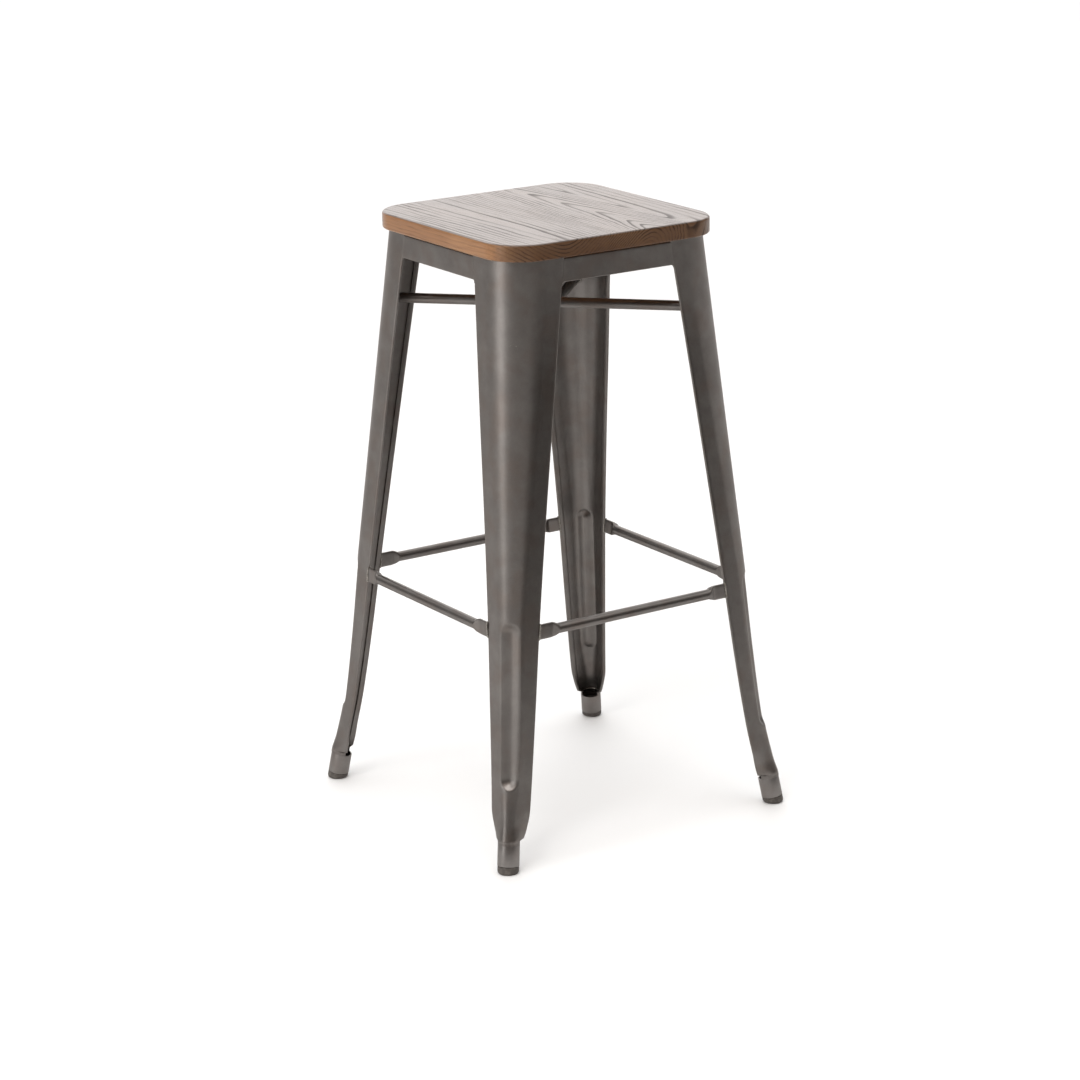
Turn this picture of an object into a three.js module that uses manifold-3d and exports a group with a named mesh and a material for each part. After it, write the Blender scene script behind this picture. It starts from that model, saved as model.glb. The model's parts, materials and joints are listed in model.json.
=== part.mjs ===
// Bar stool with a wooden seat and a welded sheet-steel frame, 762 mm tall.
//
// Units are millimetres and +Z is up. The origin is on the floor under the centre of the seat, and X and Y run
// along the sides of the square seat. The frame has four equal quarters, so each quarter is drawn once, for the
// corner at +X +Y and the side at +X, and is turned about Z by quarter turns.

import * as THREE from "three";
import { mergeVertices } from "three/addons/utils/BufferGeometryUtils.js";
import Module from "manifold-3d";

const wasm = await Module();
wasm.setup();

// Driving dimensions.
const STOOL_HEIGHT = 762;
const GAP = 0.3; // clearance between neighbouring pieces

const SEAT_SIDE = 322;
const SEAT_THICKNESS = 20.5;
const SEAT_CORNER_RADIUS = 53;
const SEAT_EDGE_ROUNDING = 3;

const FRAME_TOP = STOOL_HEIGHT - SEAT_THICKNESS - GAP;
const SHEET = 1.6; // thickness of the leg and apron steel
const HEM_THICKNESS = 3.4; // the sheet folded back on itself along a free edge
const HEM_WIDTH = 8;
const HEM_STEP = 1;

// A leg is an angle of sheet steel. At each height: distance from the stool's axis to its outer faces, width of
// each flange measured from the sharp corner, and radius of the rounded corner.
const LEG_STATIONS = [
  { z: 41, half: 212.4, flange: 35.6, radius: 13.6 },
  { z: 60, half: 207.9, flange: 34.6, radius: 12.6 },
  { z: 110, half: 201.3, flange: 36.8, radius: 18.5 },
  { z: 200, half: 193.4, flange: 41.4, radius: 22.5 },
  { z: 300, half: 185.9, flange: 46.4, radius: 24.5 },
  { z: 420, half: 177.8, flange: 54.4, radius: 33.8 },
  { z: 560, half: 169, flange: 65.3, radius: 47 },
  { z: FRAME_TOP, half: 156.6, flange: 78.4, radius: 60 },
];
const CURL = { top: 78, curvature: 0.04 }; // the flanges bend in below this height, down to the shoulder
const SHOULDER = { top: 41, bottom: 38.4 }; // where they close in to the foot
const WRAP = { bottom: 34.4, flange: 32.6 }; // the leg's end, which wraps round the foot's axis
const LEAN_TOP = 60; // below this height the leg's rows tip over to be square to the foot's axis
const HEM_SHARE = 0.6; // most of a narrow flange that its hem may take up

// A groove pressed into the leg's corner.
const FLUTE = { bottom: 101, top: 308, width: 27, depth: 6 };

// The foot leans outwards: its axis meets the floor at FOOT_CENTRE and moves in by FOOT_SLOPE for each mm up.
const FOOT_CENTRE = 204.7;
const FOOT_SLOPE = 0.143;
const RIM_RISE = (FOOT_SLOPE * Math.SQRT2) / (1 + 2 * FOOT_SLOPE ** 2); // makes the rims square to that axis
const SLEEVE = { bottom: 8.3, top: 34, outer: 13.6, inner: 12.1 };
const RUBBER = { outer: 13.6, stem: 11.7, stemTop: 24, rounding: 4.2 };

const RAIL = { height: 291.5, inset: 1.3, radius: 6.4, wall: 1.5 };
const RAIL_END = { height: 19, thickness: 3.4, flat: 16, taper: 12 }; // the rail's ends, pressed flat

const BRACE = { radius: 6.5, wall: 1.2, upper: 649, lower: 635.5, endGap: 1.6 };

const APRON = { bottom: 711.5, flangeDepth: 24, bend: 2.5, fillet: 4 };

const PLATE_THICKNESS = 2.5;
const SCREW = { shank: 2, head: 4.2, headHeight: 2.6, bite: 13, tip: 4 };
const SCREW_HOLE = 2.6;
const PILOT = { radius: 2.3, depth: 14.5 };
const CORNER_SCREW = 129; // distance of a corner screw from the axis, in both X and Y
const APRON_SCREW_DEPTH = 13; // distance of an apron screw behind the apron's face

// The quarters, in the order in which quarter turns about Z reach them.
const CORNERS = ["back_right", "back_left", "front_left", "front_right"];
const SIDES = ["right", "back", "left", "front"];

// ---------------------------------------------------------------- materials

function gunmetal() {
  return new THREE.MeshStandardMaterial({ color: 0x625d58, roughness: 0.42, metalness: 0.85 });
}

function bareTube() {
  return new THREE.MeshStandardMaterial({ color: 0x77716c, roughness: 0.38, metalness: 0.88 });
}

function zincPlate() {
  return new THREE.MeshStandardMaterial({ color: 0xb4b2ab, roughness: 0.35, metalness: 0.95 });
}

function walnutStain() {
  return new THREE.MeshStandardMaterial({ color: 0x7a5238, roughness: 0.4, metalness: 0 });
}

function darkRubber() {
  return new THREE.MeshStandardMaterial({ color: 0x2c2a28, roughness: 0.85, metalness: 0 });
}

// ---------------------------------------------------------------- helpers

// Joins shared vertices, so that a geometry is one closed surface.
function closed(geometry) {
  const bare = geometry.index ? geometry.toNonIndexed() : geometry.clone();
  for (const name of Object.keys(bare.attributes)) {
    if (name !== "position") bare.deleteAttribute(name);
  }
  return mergeVertices(bare, 1e-4);
}

function toSolid(geometry) {
  const mesh = closed(geometry);
  return new wasm.Manifold(
    new wasm.Mesh({
      numProp: 3,
      vertProperties: new Float32Array(mesh.attributes.position.array),
      triVerts: new Uint32Array(mesh.index.array),
    }),
  );
}

function toGeometry(solid) {
  const mesh = solid.getMesh();
  const geometry = new THREE.BufferGeometry();
  geometry.setAttribute("position", new THREE.BufferAttribute(new Float32Array(mesh.vertProperties), 3));
  geometry.setIndex(new THREE.BufferAttribute(new Uint32Array(mesh.triVerts), 1));
  return geometry;
}

// Moves every vertex of a geometry to the place that the function gives.
function reshape(geometry, place) {
  const shaped = closed(geometry);
  const position = shaped.attributes.position;
  const point = new THREE.Vector3();
  for (let i = 0; i < position.count; i += 1) {
    point.fromBufferAttribute(position, i);
    place(point);
    position.setXYZ(i, point.x, point.y, point.z);
  }
  return shaped;
}

// A turned solid about the Z axis, from its profile of [radius, height] points.
function turned(profile, sides) {
  const points = profile.map(([radius, height]) => new THREE.Vector2(radius, height));
  return new THREE.LatheGeometry(points, sides).rotateX(Math.PI / 2);
}

function named(name, geometry, material) {
  geometry.computeVertexNormals();
  const mesh = new THREE.Mesh(geometry, material);
  mesh.name = name;
  return mesh;
}

// ---------------------------------------------------------------- leg shape

// Slope of one leg dimension at a station, from its neighbours.
function stationSlope(index, key) {
  const before = LEG_STATIONS[Math.max(index - 1, 0)];
  const after = LEG_STATIONS[Math.min(index + 1, LEG_STATIONS.length - 1)];
  return (after[key] - before[key]) / (after.z - before.z);
}

// One leg dimension at any height, on a smooth curve through the stations.
function legDimension(z, key) {
  const last = LEG_STATIONS.length - 2;
  let index = 0;
  while (index < last && z > LEG_STATIONS[index + 1].z) index += 1;
  const low = LEG_STATIONS[index];
  const high = LEG_STATIONS[index + 1];
  const span = high.z - low.z;
  const t = (z - low.z) / span;
  if (t < 0) return low[key] + stationSlope(0, key) * (z - low.z);
  const fromLow = low[key] * (1 + 2 * t) * (1 - t) ** 2 + high[key] * (3 - 2 * t) * t ** 2;
  const slopes = stationSlope(index, key) * (1 - t) - stationSlope(index + 1, key) * t;
  return fromLow + slopes * span * t * (1 - t);
}

// How far a height is down the shoulder, from 0 at its top to 1 at its bottom and below.
function shoulderDrop(z) {
  return Math.min(Math.max((SHOULDER.top - z) / (SHOULDER.top - SHOULDER.bottom), 0), 1);
}

// The angle's section at a height. Below the shoulder it follows the foot's axis.
function legSection(z) {
  const onFoot = z < SHOULDER.top;
  const radius = onFoot ? SLEEVE.outer : legDimension(z, "radius");
  const half = onFoot ? FOOT_CENTRE - FOOT_SLOPE * z + radius : legDimension(z, "half");
  const drop = shoulderDrop(z);
  const wide = legDimension(Math.max(z, SHOULDER.top), "flange");
  const flange = wide + (WRAP.flange - wide) * drop;
  return { half, flange, radius, hem: drop < 1 ? HEM_THICKNESS : SHEET };
}

// Distance from the axis to a leg's free edge at a height.
function flangeEdge(z) {
  const section = legSection(z);
  return section.half - section.flange;
}

// How far the flute presses the corner in, at a distance from the ridge and a height.
function fluteDepth(fromRidge, z) {
  const reach = FLUTE.width / 2;
  const pastEnd = Math.max(FLUTE.bottom + reach - z, z - FLUTE.top + reach, 0);
  const distance = Math.min(Math.hypot(fromRidge, pastEnd) / reach, 1);
  return FLUTE.depth * (0.5 + 0.5 * Math.cos(Math.PI * distance));
}

// A point of a flange, at a distance along it from the rounded corner and a depth behind its outer face. It is
// returned as its distance and depth along straight lines.
function flangePoint(distance, depth, z) {
  const share = Math.min(Math.max((CURL.top - z) / (CURL.top - SHOULDER.top), 0), 1);
  const tightening = (1 / SLEEVE.outer - CURL.curvature) * shoulderDrop(z);
  const curvature = CURL.curvature * share ** 2 + tightening;
  if (curvature === 0) return [distance, depth];
  const reach = 1 / curvature - depth;
  const angle = distance * curvature;
  return [reach * Math.sin(angle), 1 / curvature - reach * Math.cos(angle)];
}

const FLANGE_STEPS = 3;
const BEND_STEPS = 8;
const SECTION_STEPS = BEND_STEPS + 2 * FLANGE_STEPS;

// A point of the sheet: index counts along the section from one free edge to the other, and inward is 0 on the
// outer face and 1 on the inner face.
function sheetPoint(index, inward, z) {
  const { half, flange, radius, hem } = legSection(z);
  const straight = flange - radius;
  const hemWidth = Math.min(HEM_WIDTH, HEM_SHARE * straight);
  const hemEnd = Math.min(hemWidth + HEM_STEP, (hemWidth + straight) / 2);
  const stops = [0, hemWidth, hemEnd, straight];
  const fromEdge = Math.min(index, SECTION_STEPS - index);
  const thickness = fromEdge < 2 ? hem : SHEET;
  if (fromEdge <= FLANGE_STEPS) {
    const [distance, depth] = flangePoint(straight - stops[fromEdge], inward * thickness, z);
    const along = half - radius - distance;
    const across = half - depth;
    return index < SECTION_STEPS / 2 ? [along, across] : [across, along];
  }
  const angle = Math.PI / 2 - (Math.PI / 2) * ((index - FLANGE_STEPS) / BEND_STEPS);
  const reach = radius - fluteDepth(radius * (angle - Math.PI / 4), z) - inward * thickness;
  return [half - radius + reach * Math.cos(angle), half - radius + reach * Math.sin(angle)];
}

// Heights of the rows of points up a leg: close together where the shape turns.
function legRows() {
  const rows = [WRAP.bottom, SHOULDER.bottom, 38.8, 39.8, SHOULDER.top, 50, LEAN_TOP, 76, 92];
  const fluteRows = 12;
  const crowding = 0.11; // how far the rows are drawn towards the flute's two ends
  for (let i = 0; i <= fluteRows; i += 1) {
    const t = i / fluteRows;
    const eased = t - crowding * Math.sin(2 * Math.PI * t);
    rows.push(FLUTE.bottom + (FLUTE.top - FLUTE.bottom) * eased);
  }
  const upperRows = 6;
  for (let i = 1; i <= upperRows; i += 1) {
    rows.push(FLUTE.top + ((FRAME_TOP - FLUTE.top) * i) / upperRows);
  }
  return rows;
}

function legGeometry() {
  const rows = legRows();
  const last = rows.length - 1;
  const strip = new THREE.BoxGeometry(1, 1, 1, SECTION_STEPS, 1, last);
  return reshape(strip, (point) => {
    const index = Math.round((point.x + 0.5) * SECTION_STEPS);
    const height = rows[Math.round((point.z + 0.5) * last)];
    const [x, y] = sheetPoint(index, 0.5 - point.y, height);
    const centre = FOOT_CENTRE - FOOT_SLOPE * height;
    const outward = (x + y - 2 * centre) / Math.SQRT2;
    const lean = Math.min(Math.max((LEAN_TOP - height) / (LEAN_TOP - WRAP.bottom), 0), 1);
    point.set(x, y, height + lean * RIM_RISE * outward);
  });
}

// ---------------------------------------------------------------- feet

// Leans an upright turned solid along the foot's axis. Its base stays flat on the floor, and from the sleeve's
// lower rim upwards its rims are square to the axis.
function leanOutwards(geometry) {
  return reshape(geometry, (point) => {
    const outward = (point.x + point.y) / Math.SQRT2;
    const lean = Math.min(point.z / SLEEVE.bottom, 1);
    const z = point.z + lean * RIM_RISE * outward;
    const centre = FOOT_CENTRE - FOOT_SLOPE * z;
    point.set(centre + point.x, centre + point.y, z);
  });
}

function sleeveGeometry() {
  const { bottom, top, outer, inner } = SLEEVE;
  const chamfer = 0.4;
  const profile = [
    [inner, bottom],
    [outer, bottom],
    [outer, top - chamfer],
    [outer - chamfer, top],
    [inner, top],
    [inner, bottom],
  ];
  return leanOutwards(turned(profile, 16));
}

// A rubber glide: a rounded pad under the sleeve, with a stem that plugs into it.
function rubberGeometry() {
  const { outer, stem, stemTop, rounding } = RUBBER;
  const profile = [[0, 0]];
  const roundSteps = 3;
  for (let i = 0; i <= roundSteps; i += 1) {
    const angle = (Math.PI / 2) * (i / roundSteps);
    profile.push([outer - rounding + rounding * Math.sin(angle), rounding - rounding * Math.cos(angle)]);
  }
  profile.push([outer, SLEEVE.bottom - GAP]);
  profile.push([stem, SLEEVE.bottom - GAP]);
  profile.push([stem, stemTop - 1]);
  profile.push([stem - 1, stemTop]);
  profile.push([0, stemTop]);
  return leanOutwards(turned(profile, 16));
}

// ---------------------------------------------------------------- footrest and braces

// A round tube with its ends pressed flat, cut to the slope of the two legs' free edges. It starts as a plain
// ring of two skins, which are then moved to the tube's outer and inner faces.
function railGeometry() {
  const { height, inset, radius, wall } = RAIL;
  const { flat, taper } = RAIL_END;
  const reach = flangeEdge(height);
  const stops = [0, flat, flat + taper / 3, flat + (2 * taper) / 3, flat + taper];
  const steps = 2 * stops.length - 1;
  const [innerSkin, outerSkin] = [1, 2];
  const profile = [[innerSkin, 0]];
  for (let i = 0; i <= steps; i += 1) profile.push([outerSkin, i]);
  for (let i = steps; i >= 0; i -= 1) profile.push([innerSkin, i]);
  return reshape(turned(profile, 12), (point) => {
    const index = Math.round(point.z);
    const skin = Math.hypot(point.x, point.y);
    const inside = Math.round(skin) === innerSkin ? wall : 0;
    const fromEnd = stops[Math.min(index, steps - index)];
    const pressed = 1 - THREE.MathUtils.smoothstep(fromEnd, flat, flat + taper);
    const halfHeight = THREE.MathUtils.lerp(radius, RAIL_END.height / 2, pressed) - inside;
    const halfDepth = THREE.MathUtils.lerp(radius, RAIL_END.thickness / 2, pressed) - inside;
    const z = height - (point.y / skin) * halfHeight;
    const end = pressed > 0 ? flangeEdge(z) - GAP : reach - GAP;
    const along = (index * 2 < steps ? -1 : 1) * (end - fromEnd);
    point.set(legSection(height).half - inset + (point.x / skin) * halfDepth, along, z);
  });
}

// A straight tube across the stool from inside one leg's corner to the opposite one, along X.
function braceGeometry(height) {
  const { half, radius } = legSection(height);
  const end = (half - radius) * Math.SQRT2 + radius - SHEET - BRACE.endGap;
  const bore = BRACE.radius - BRACE.wall;
  const profile = [
    [bore, -end],
    [BRACE.radius, -end],
    [BRACE.radius, end],
    [bore, end],
    [bore, -end],
  ];
  return turned(profile, 16).rotateY(Math.PI / 2);
}

// ---------------------------------------------------------------- seat frame

// An apron: a panel between two legs with a flange folded in at the top and a hem along the bottom. Its section
// is drawn as depth behind the outer face against height.
function apronSection() {
  const { bottom, flangeDepth, bend } = APRON;
  const outline = new THREE.Shape();
  outline.moveTo(0, bottom);
  outline.lineTo(HEM_THICKNESS, bottom);
  outline.lineTo(HEM_THICKNESS, bottom + HEM_WIDTH);
  outline.lineTo(SHEET, bottom + HEM_WIDTH + HEM_STEP);
  outline.lineTo(SHEET, FRAME_TOP - SHEET);
  outline.lineTo(flangeDepth, FRAME_TOP - SHEET);
  outline.lineTo(flangeDepth, FRAME_TOP);
  outline.lineTo(bend, FRAME_TOP);
  outline.absarc(bend, FRAME_TOP - bend, bend, Math.PI / 2, Math.PI, false);
  return outline;
}

function apronGeometry() {
  const panel = reshape(
    new THREE.ExtrudeGeometry(apronSection(), { depth: 2, steps: 1, bevelEnabled: false, curveSegments: 4 }),
    (point) => {
      const [depth, height, along] = [point.x, point.y, point.z - 1];
      point.set(legSection(height).half - depth, along * (flangeEdge(height) - GAP), height);
    },
  );
  const margin = 1; // the cutter stands clear of both faces of the flange
  const hole = turned(
    [
      [0, FRAME_TOP - SHEET - margin],
      [SCREW_HOLE, FRAME_TOP - SHEET - margin],
      [SCREW_HOLE, FRAME_TOP + margin],
      [0, FRAME_TOP + margin],
    ],
    16,
  ).translate(legSection(FRAME_TOP).half - APRON_SCREW_DEPTH, 0, 0);
  let solid = toSolid(panel).subtract(toSolid(hole));
  for (const end of [-1, 1]) {
    solid = solid.add(toSolid(filletGeometry(end)));
  }
  return toGeometry(solid);
}

// A concave web, in line with the hem, that rounds the corner between the apron's lower edge and a leg's free
// edge. It laps a little way up inside the apron. The end is 1 or -1.
function filletGeometry(end) {
  const { bottom, fillet } = APRON;
  const lap = 1;
  const tuck = 0.2;
  const outline = new THREE.Shape();
  outline.moveTo(-tuck, bottom + lap);
  outline.lineTo(-fillet, bottom + lap);
  outline.lineTo(-fillet, bottom);
  outline.absarc(-fillet, bottom - fillet, fillet, Math.PI / 2, 0, true);
  outline.lineTo(0, bottom - tuck);
  const web = new THREE.ExtrudeGeometry(outline, {
    depth: HEM_THICKNESS,
    bevelEnabled: false,
    curveSegments: 5,
  });
  return reshape(web, (point) => {
    const height = point.y;
    const along = end * (flangeEdge(height) - GAP + point.x);
    const inward = end > 0 ? HEM_THICKNESS - point.z : point.z;
    point.set(legSection(height).half - inward, along, height);
  });
}

// A plate that closes the top of a leg's corner, under the wood, with a hole for one screw.
function cornerPlateGeometry() {
  const { half, flange, radius } = legSection(FRAME_TOP);
  const inside = SHEET + GAP;
  const start = half - flange + HEM_WIDTH + HEM_STEP + GAP;
  const centre = half - radius;
  const outline = new THREE.Shape();
  outline.moveTo(half - inside, start);
  outline.lineTo(half - inside, centre);
  outline.absarc(centre, centre, radius - inside, 0, Math.PI / 2, false);
  outline.lineTo(start, half - inside);
  const hole = new THREE.Path();
  hole.absarc(CORNER_SCREW, CORNER_SCREW, SCREW_HOLE, 0, 2 * Math.PI, false);
  outline.holes.push(hole);
  const plate = new THREE.ExtrudeGeometry(outline, {
    depth: PLATE_THICKNESS,
    bevelEnabled: false,
    curveSegments: 10,
  });
  return closed(plate.translate(0, 0, FRAME_TOP - PLATE_THICKNESS));
}

// ---------------------------------------------------------------- screws and seat

// A pan-head wood screw, point up, with its bearing face at height 0.
function screwGeometry(grip) {
  const { shank, head, headHeight, bite, tip } = SCREW;
  const top = grip + bite;
  const profile = [
    [0, -headHeight],
    [0.55 * head, -headHeight],
    [0.85 * head, -0.75 * headHeight],
    [head, -0.25 * headHeight],
    [head, 0],
    [shank, 0],
    [shank, top - tip],
    [0, top],
  ];
  return closed(turned(profile, 10));
}

function roundedSquare(side, radius) {
  const outline = new THREE.Shape();
  const centre = side / 2 - radius;
  outline.absarc(centre, centre, radius, 0, Math.PI / 2, false);
  outline.absarc(-centre, centre, radius, Math.PI / 2, Math.PI, false);
  outline.absarc(-centre, -centre, radius, Math.PI, 1.5 * Math.PI, false);
  outline.absarc(centre, -centre, radius, 1.5 * Math.PI, 2 * Math.PI, false);
  return outline;
}

// Plan positions of the screws: one in each corner plate and one in each apron's flange.
function screwPlaces() {
  const up = new THREE.Vector3(0, 0, 1);
  const atCorner = new THREE.Vector3(CORNER_SCREW, CORNER_SCREW, 0);
  const atSide = new THREE.Vector3(legSection(FRAME_TOP).half - APRON_SCREW_DEPTH, 0, 0);
  const places = [];
  for (let quarter = 0; quarter < 4; quarter += 1) {
    const turn = (quarter * Math.PI) / 2;
    places.push(atCorner.clone().applyAxisAngle(up, turn));
    places.push(atSide.clone().applyAxisAngle(up, turn));
  }
  return places;
}

function seatGeometry() {
  const board = new THREE.ExtrudeGeometry(roundedSquare(SEAT_SIDE, SEAT_CORNER_RADIUS), {
    depth: SEAT_THICKNESS - 2 * SEAT_EDGE_ROUNDING,
    bevelThickness: SEAT_EDGE_ROUNDING,
    bevelSize: SEAT_EDGE_ROUNDING,
    bevelOffset: -SEAT_EDGE_ROUNDING,
    bevelSegments: 2,
    curveSegments: 8,
  }).translate(0, 0, STOOL_HEIGHT - SEAT_THICKNESS + SEAT_EDGE_ROUNDING);
  const underside = STOOL_HEIGHT - SEAT_THICKNESS;
  let solid = toSolid(board);
  for (const place of screwPlaces()) {
    const pilot = turned(
      [
        [0, underside - 1],
        [PILOT.radius, underside - 1],
        [PILOT.radius, underside + PILOT.depth - 1],
        [0, underside + PILOT.depth],
      ],
      8,
    );
    solid = solid.subtract(toSolid(pilot.translate(place.x, place.y, 0)));
  }
  return toGeometry(solid);
}

// ---------------------------------------------------------------- assembly

// One corner of the stool: leg, foot, corner plate and its screw.
function buildCorner(corner) {
  const group = new THREE.Group();
  group.add(named(`leg_${corner}`, legGeometry(), gunmetal()));
  group.add(named(`foot_sleeve_${corner}`, sleeveGeometry(), bareTube()));
  group.add(named(`rubber_foot_${corner}`, rubberGeometry(), darkRubber()));
  group.add(named(`corner_plate_${corner}`, cornerPlateGeometry(), gunmetal()));
  const screw = named(`seat_screw_${corner}`, screwGeometry(PLATE_THICKNESS + GAP), zincPlate());
  screw.position.set(CORNER_SCREW, CORNER_SCREW, FRAME_TOP - PLATE_THICKNESS - GAP);
  group.add(screw);
  return group;
}

// One side of the stool: apron, its screw, and the footrest rail below.
function buildSide(side) {
  const group = new THREE.Group();
  group.add(named(`apron_${side}`, apronGeometry(), gunmetal()));
  group.add(named(`footrest_rail_${side}`, railGeometry(), gunmetal()));
  const screw = named(`seat_screw_${side}`, screwGeometry(SHEET + GAP), zincPlate());
  screw.position.set(legSection(FRAME_TOP).half - APRON_SCREW_DEPTH, 0, FRAME_TOP - SHEET - GAP);
  group.add(screw);
  return group;
}

// The two crossed tubes under the seat, one just above the other.
function buildBraces() {
  const group = new THREE.Group();
  const upper = named("cross_brace_upper", braceGeometry(BRACE.upper), gunmetal());
  upper.position.z = BRACE.upper;
  upper.rotation.z = -Math.PI / 4;
  const lower = named("cross_brace_lower", braceGeometry(BRACE.lower), gunmetal());
  lower.position.z = BRACE.lower;
  lower.rotation.z = Math.PI / 4;
  group.add(upper, lower);
  return group;
}

const group = new THREE.Group();
[CORNERS.map(buildCorner), SIDES.map(buildSide)].flat().forEach((assembly, index) => {
  assembly.rotation.z = ((index % 4) * Math.PI) / 2;
  group.add(assembly);
});
group.add(buildBraces());
group.add(named("seat_board", seatGeometry(), walnutStain()));

export default group;
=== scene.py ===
# Bar stool with a wooden seat and a welded sheet-steel frame: the visual model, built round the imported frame.
#
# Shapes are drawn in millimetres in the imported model's frame, and become metres when a mesh is made. The
# steel frame has four equal quarters. One is drawn, for the corner at +X +Y and the side at +X, and is turned
# about Z by quarter turns for the others.

import json
import math
import random

import bmesh
import bpy
from mathutils import Matrix, Vector


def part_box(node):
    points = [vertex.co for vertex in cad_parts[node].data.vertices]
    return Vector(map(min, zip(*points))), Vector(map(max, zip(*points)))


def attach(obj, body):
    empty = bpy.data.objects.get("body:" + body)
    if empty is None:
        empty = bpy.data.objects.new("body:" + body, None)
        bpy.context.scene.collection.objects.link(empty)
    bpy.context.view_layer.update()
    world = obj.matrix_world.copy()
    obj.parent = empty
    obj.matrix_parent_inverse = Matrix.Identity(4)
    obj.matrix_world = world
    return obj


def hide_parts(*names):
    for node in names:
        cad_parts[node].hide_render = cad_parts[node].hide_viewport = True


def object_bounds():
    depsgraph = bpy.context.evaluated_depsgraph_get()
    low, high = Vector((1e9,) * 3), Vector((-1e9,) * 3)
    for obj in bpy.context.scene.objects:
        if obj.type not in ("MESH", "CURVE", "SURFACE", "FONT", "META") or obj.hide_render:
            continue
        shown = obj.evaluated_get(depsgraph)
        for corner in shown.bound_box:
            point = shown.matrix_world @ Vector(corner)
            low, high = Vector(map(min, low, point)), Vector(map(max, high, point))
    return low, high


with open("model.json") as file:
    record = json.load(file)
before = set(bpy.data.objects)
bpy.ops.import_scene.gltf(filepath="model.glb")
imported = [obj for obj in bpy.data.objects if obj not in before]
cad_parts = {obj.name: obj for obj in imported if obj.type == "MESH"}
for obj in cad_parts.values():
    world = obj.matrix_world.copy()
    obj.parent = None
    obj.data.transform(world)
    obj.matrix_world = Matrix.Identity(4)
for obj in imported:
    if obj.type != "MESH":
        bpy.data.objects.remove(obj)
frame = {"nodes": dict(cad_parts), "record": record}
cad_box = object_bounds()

MM = 0.001
CORNERS = ("back_right", "back_left", "front_left", "front_right")
SIDES = ("right", "back", "left", "front")


# ------------------------------------------------------------------ sizes, in millimetres


def span(node):
    """A CAD node's lowest and highest corners."""
    low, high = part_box(node)
    return low / MM, high / MM


def middle(node):
    """The middle of a CAD node's box."""
    low, high = span(node)
    return (low + high) / 2


def mount(name):
    """The place of one of the record's mounts."""
    places = {entry["name"]: entry["pos_m"] for entry in frame["record"]["mounts"]}
    return Vector(places[name]) / MM


SHEET = 1.6  # thickness of the leg and apron steel
HEM_THICKNESS = 3.4  # the sheet folded back on itself along a free edge
HEM_WIDTH = 8
CUT_EDGE = 0.3  # rounding of a cut edge of the sheet
FRAME_TOP = span("leg_back_right")[1].z

# A leg is an angle of sheet steel. At each height: the distance from the stool's axis to its outer faces, the
# width of each flange measured from the sharp corner, and the radius of the rounded corner.
LEG_STATIONS = [
    {"z": 41, "half": 212.4, "flange": 35.6, "radius": 13.6},
    {"z": 60, "half": 207.9, "flange": 34.6, "radius": 12.6},
    {"z": 110, "half": 201.3, "flange": 36.8, "radius": 18.5},
    {"z": 200, "half": 193.4, "flange": 41.4, "radius": 22.5},
    {"z": 300, "half": 185.9, "flange": 46.4, "radius": 24.5},
    {"z": 420, "half": 177.8, "flange": 54.4, "radius": 33.8},
    {"z": 560, "half": 169, "flange": 65.3, "radius": 47},
    {"z": FRAME_TOP, "half": 156.6, "flange": 78.4, "radius": 60},
]
CURL_TOP = 78  # the flanges bend in below this height, down to the shoulder
CURL_CURVATURE = 0.04  # at the shoulder, for each mm along a flange
SHOULDER_TOP = 41  # where they close in to the foot
SHOULDER_BOTTOM = 38.4
WRAP_BOTTOM = 34.1  # end of the leg, which wraps round the foot's axis
WRAP_FLANGE = 32.6
LEAN_TOP = 60  # below this height the leg's rows tip over to be square to the foot's axis

# The groove pressed into a leg's corner: a wide rounded valley whose walls round over at the rims.
FLUTE_BOTTOM = 101
FLUTE_TOP = 308
FLUTE_REACH = 13.5  # from the valley to a rim
FLUTE_DEPTH = 6
FLUTE_VALLEY = 0.6  # share of the reach that is rounded at the valley
FLUTE_RIM = 0.16  # share of the reach that is rounded at a rim
FLUTE_MARGIN = 4  # closely spaced rows go this far past each end's curve

FOOT_CENTRE = mount("floor_rest").x
FOOT_SLOPE = 0.143  # how far the foot's axis moves in for each mm up
RIM_RISE = FOOT_SLOPE * math.sqrt(2) / (1 + 2 * FOOT_SLOPE**2)  # makes rims square to that axis
SLEEVE_BOTTOM = 8.3
SLEEVE_TOP = 34
SLEEVE_OUTER = 13.6
SLEEVE_INNER = 12.1
SLEEVE_EASE = 0.45  # rounding of the sleeve's rims
PAD_RADIUS = 13.35  # the rubber glide's
PAD_ROUNDING = 3.4
PAD_LIP = 0.7
TREAD_DEPTH = 0.7
STEM_RADIUS = 11.7
STEM_TOP = 24

RAIL_HEIGHT = middle("footrest_rail_right").z
RAIL_RADIUS = middle("footrest_rail_right").x - span("footrest_rail_right")[0].x
RAIL_END_HEIGHT = 19
RAIL_END_THICKNESS = 3.4
RAIL_FLAT = 16  # length of each pressed end
RAIL_TAPER = 12  # length over which it becomes round

APRON_FILLET = 4
APRON_BOTTOM = span("apron_right")[0].z + APRON_FILLET
APRON_FLANGE = 24
APRON_BEND = 2.5
FILLET_LAP = 1.4  # how far a fillet reaches in behind the hems that it joins
FINE_GAP = 0.05  # between pieces that are welded edge to edge

SEAT_CORNER_RADIUS = 53
SEAT_EASE_ABOVE = 3.0
SEAT_EASE_BELOW = 2.4
SCREW_HEAD = 2.6  # height of a screw's head

# Weld beads: their radii, and the distance from one ripple to the next.
FOOT_WELD = 0.8
FOOT_WELD_SWEEP = 130  # degrees that it runs to each side of the leg's corner
RAIL_WELD = 1.15
BRACE_WELD = 1.5
WELD_RIPPLE = 1.7

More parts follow.
